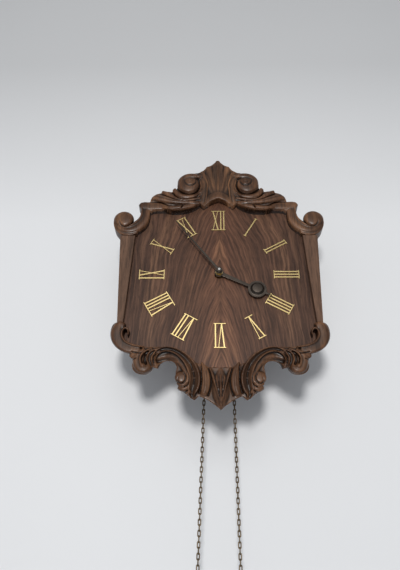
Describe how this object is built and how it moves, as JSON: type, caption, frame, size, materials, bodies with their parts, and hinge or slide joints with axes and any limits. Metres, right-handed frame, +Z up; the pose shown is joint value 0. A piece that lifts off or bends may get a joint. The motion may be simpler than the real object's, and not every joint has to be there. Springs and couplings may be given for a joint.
{
  "type": "wall clock",
  "caption": "Weight-driven wall clock with a carved shield front, applied Roman numerals, two hands, chain drive and a boxed movement behind the dial.",
  "frame": {"origin": "centre of the hanger hole, on the wall plane at the back of the case", "axes": "+Z up, the dial faces -Y, the wall is the plane y = 0, +X is to the viewer's right"},
  "size_m": [0.275, 0.0886, 0.5399],
  "materials": {
    "dial_veneer": "book-matched quarter-cut oak veneer, satin varnish",
    "carved_oak": "carved oak, stained and satin varnished",
    "case_wood": "plain stained softwood boards",
    "polished_brass": "stamped and polished brass",
    "bronzed_steel": "bronzed, slightly worn steel",
    "movement_brass": "lightly tarnished rolled brass",
    "antique_brass": "darkened brass chain wire",
    "steel": "drawn steel",
    "bob_brass": "spun brass"
  },
  "bodies": {
    "case": {"back_board": "case_wood", "back_plate": "movement_brass", "base_carving": "carved_oak", "case_bottom": "case_wood", "case_side_left": "case_wood", "case_top": "case_wood", "chain_over_wheel": "antique_brass", "chain_pull_side": "antique_brass", "chain_weight_side": "antique_brass", "crest_carving": "carved_oak", "dial_panel": "dial_veneer", "front_plate": "movement_brass", "hanger_plate": "steel", "hinge_case_leaves": "movement_brass", "numeral_01": "polished_brass", "numeral_02": "polished_brass", "numeral_03": "polished_brass", "numeral_04": "polished_brass", "numeral_05": "polished_brass", "numeral_06": "polished_brass", "numeral_07": "polished_brass", "numeral_08": "polished_brass", "numeral_09": "polished_brass", "numeral_10": "polished_brass", "numeral_11": "polished_brass", "numeral_12": "polished_brass", "pilaster_left": "carved_oak", "pilaster_right": "carved_oak", "pillar_nuts": "steel", "plate_pillars": "steel", "pull_ring": "antique_brass", "side_stile": "case_wood", "suspension_cock": "movement_brass", "weight_hook": "antique_brass", "wood_screws": "steel"},
    "minute": {"centre_arbor": "steel", "centre_wheel": "movement_brass", "cannon_pinion": "movement_brass", "minute_hand": "bronzed_steel", "hand_nut": "movement_brass"},
    "hour": {"hour_wheel": "movement_brass", "hour_hand": "bronzed_steel"},
    "minute_wheel": {"minute_wheel": "movement_brass"},
    "great": {"great_arbor": "steel", "great_wheel": "movement_brass"},
    "chain_wheel": {"chain_wheel": "steel"},
    "click": {"click": "steel"},
    "third": {"third_arbor": "steel", "third_wheel": "movement_brass"},
    "escape": {"escape_arbor": "steel", "escape_wheel": "movement_brass"},
    "anchor": {"anchor": "steel", "anchor_arbor": "steel"},
    "pendulum": {"suspension_spring": "steel", "pendulum_rod": "steel", "pendulum_bob": "bob_brass", "rating_nut": "movement_brass"},
    "door": {"side_door": "case_wood", "hinge_door_leaves": "movement_brass"},
    "latch": {"turn_button": "movement_brass"}
  },
  "joints": [
    {"name": "minute_hand_turn", "type": "hinge", "parent": "case", "child": "minute", "pos_m": [0, -0.058, -0.08], "axis": [0, 1, 0], "continuous": true},
    {"name": "hour_hand_turn", "type": "hinge", "parent": "case", "child": "hour", "pos_m": [0, -0.07, -0.08], "axis": [0, 1, 0], "continuous": true},
    {"name": "minute_wheel_turn", "type": "hinge", "parent": "case", "child": "minute_wheel", "pos_m": [0.00803, -0.06, -0.08958], "axis": [0, 1, 0], "continuous": true},
    {"name": "great_wheel_turn", "type": "hinge", "parent": "case", "child": "great", "pos_m": [0, -0.042, -0.104], "axis": [0, 1, 0], "continuous": true},
    {"name": "third_wheel_turn", "type": "hinge", "parent": "case", "child": "third", "pos_m": [-0.0078, -0.046, -0.06649], "axis": [0, 1, 0], "continuous": true},
    {"name": "escape_wheel_turn", "type": "hinge", "parent": "case", "child": "escape", "pos_m": [0, -0.032, -0.05482], "axis": [0, 1, 0], "continuous": true},
    {"name": "chain_wheel_wind", "type": "hinge", "parent": "great", "child": "chain_wheel", "pos_m": [0, -0.035, -0.104], "axis": [0, 1, 0], "continuous": true},
    {"name": "click_lift", "type": "hinge", "parent": "great", "child": "click", "pos_m": [0.01229, -0.04, -0.0954], "axis": [0, 1, 0], "range_deg": [-12, 0]},
    {"name": "pendulum_swing", "type": "hinge", "parent": "case", "child": "pendulum", "pos_m": [0, -0.016, -0.0378], "axis": [0, 1, 0], "range_deg": [-4, 4]},
    {"name": "anchor_rock", "type": "hinge", "parent": "case", "child": "anchor", "pos_m": [0, -0.032, -0.0378], "axis": [0, 1, 0], "range_deg": [-4, 4]},
    {"name": "door_open", "type": "hinge", "parent": "case", "child": "door", "pos_m": [0.087, -0.006, -0.064], "axis": [0, 0, 1], "range_deg": [0, 90]},
    {"name": "latch_turn", "type": "hinge", "parent": "case", "child": "latch", "pos_m": [0.086, -0.061, -0.064], "axis": [1, 0, 0], "range_deg": [-90, 0]}
  ],
  "couplings": [
    {"joint": "hour_hand_turn", "follows": "minute_hand_turn", "ratio": 0.083333},
    {"joint": "minute_wheel_turn", "follows": "minute_hand_turn", "ratio": -0.33333},
    {"joint": "great_wheel_turn", "follows": "minute_hand_turn", "ratio": -0.25},
    {"joint": "third_wheel_turn", "follows": "minute_hand_turn", "ratio": -12},
    {"joint": "escape_wheel_turn", "follows": "minute_hand_turn", "ratio": 144},
    {"joint": "anchor_rock", "follows": "pendulum_swing", "ratio": 1}
  ]
}
